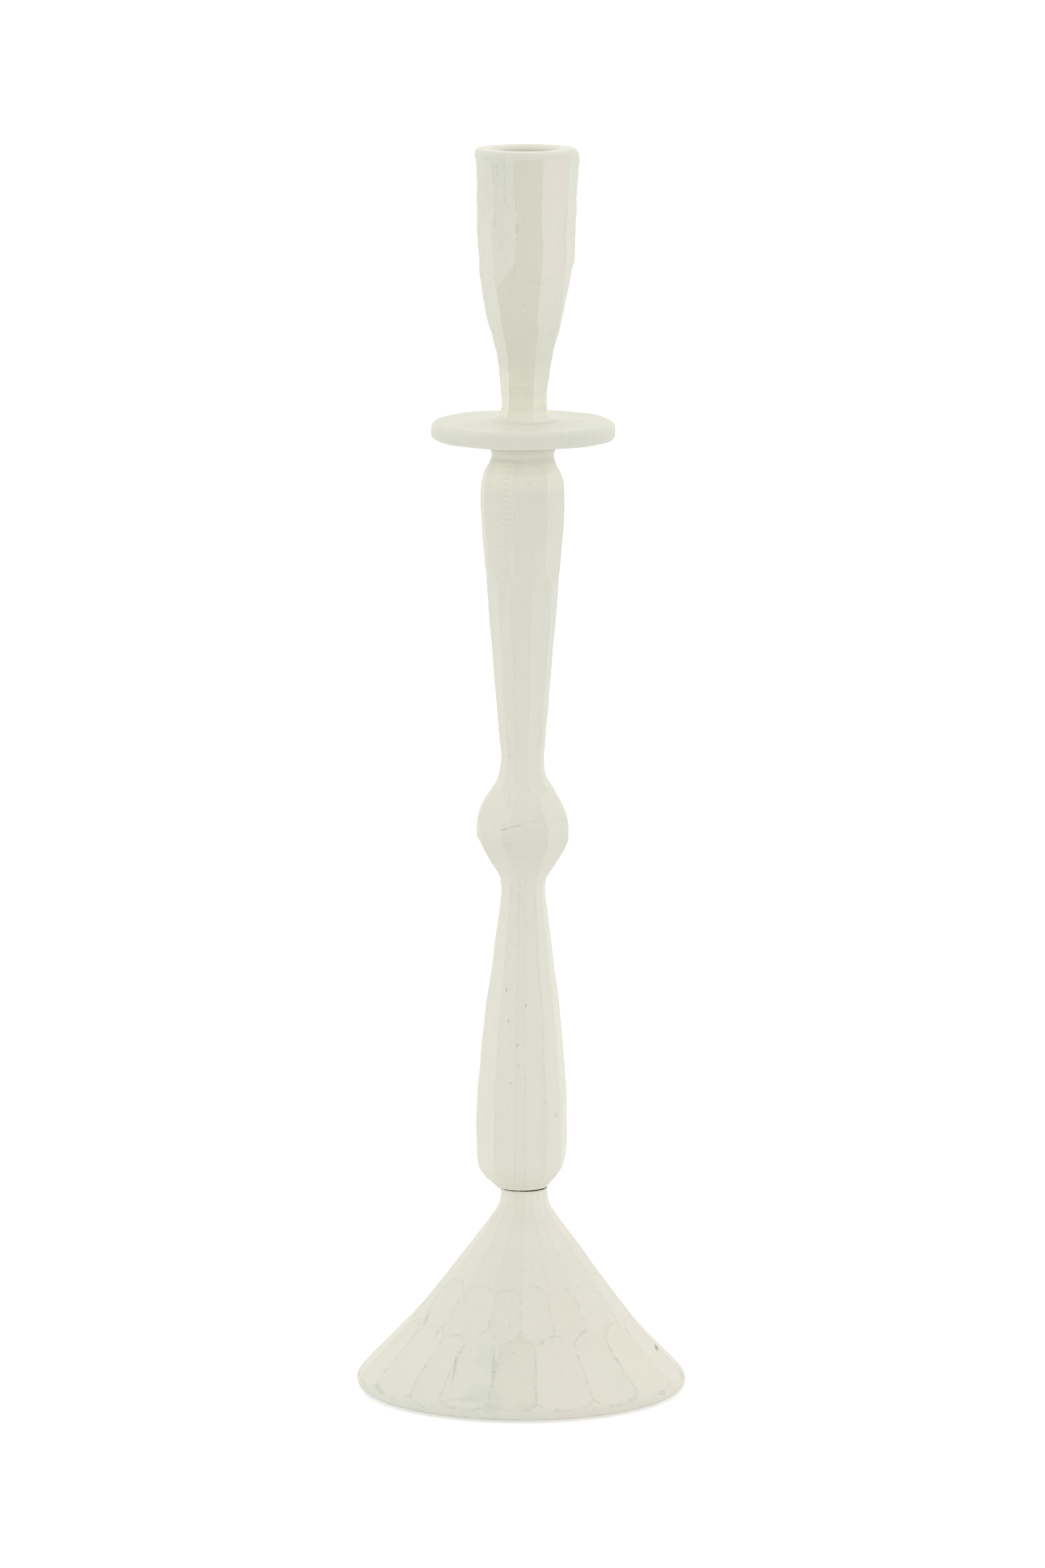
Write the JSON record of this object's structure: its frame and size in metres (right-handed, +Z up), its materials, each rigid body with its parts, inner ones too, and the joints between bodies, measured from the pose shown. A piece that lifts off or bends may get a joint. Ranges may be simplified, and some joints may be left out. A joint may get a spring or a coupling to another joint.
{
  "type": "candlestick",
  "caption": "Tall hand-carved painted wooden candlestick: faceted cone base, waisted stem with a bead, round drip pan and slim candle cup; the stem unscrews from the base.",
  "frame": {"origin": "on the table, under the centre of the round base", "axes": "+Z up along the stem and the candle, +X to the right of the front, +Y to the back"},
  "size_m": [0.1218, 0.1218, 0.46],
  "materials": {
    "painted_wood": "matt off-white paint over carved wood",
    "bare_wood": "bare beech",
    "zinc_steel": "zinc plated",
    "brass": "bright",
    "felt": "pressed wool felt"
  },
  "bodies": {
    "base_unit": {"base": "painted_wood", "felt_pad": "felt", "threaded_insert": "brass"},
    "stud_unit": {"stud": "zinc_steel"},
    "stem_unit": {"stem": "painted_wood", "drip_pan": "painted_wood", "candle_cup": "painted_wood", "dowel": "bare_wood"}
  },
  "joints": [
    {"name": "stud_rise", "type": "slide", "parent": "base_unit", "child": "stud_unit", "axis": [0, 0, 1], "range_m": [0, 0.0175]},
    {"name": "stem_unscrew", "type": "hinge", "parent": "stud_unit", "child": "stem_unit", "pos_m": [0, 0, 0.0755], "axis": [0, 0, 1], "range_deg": [0, 6300]}
  ],
  "couplings": [
    {"joint": "stem_unscrew", "follows": "stud_rise", "rad_per_m": 6283.2}
  ]
}
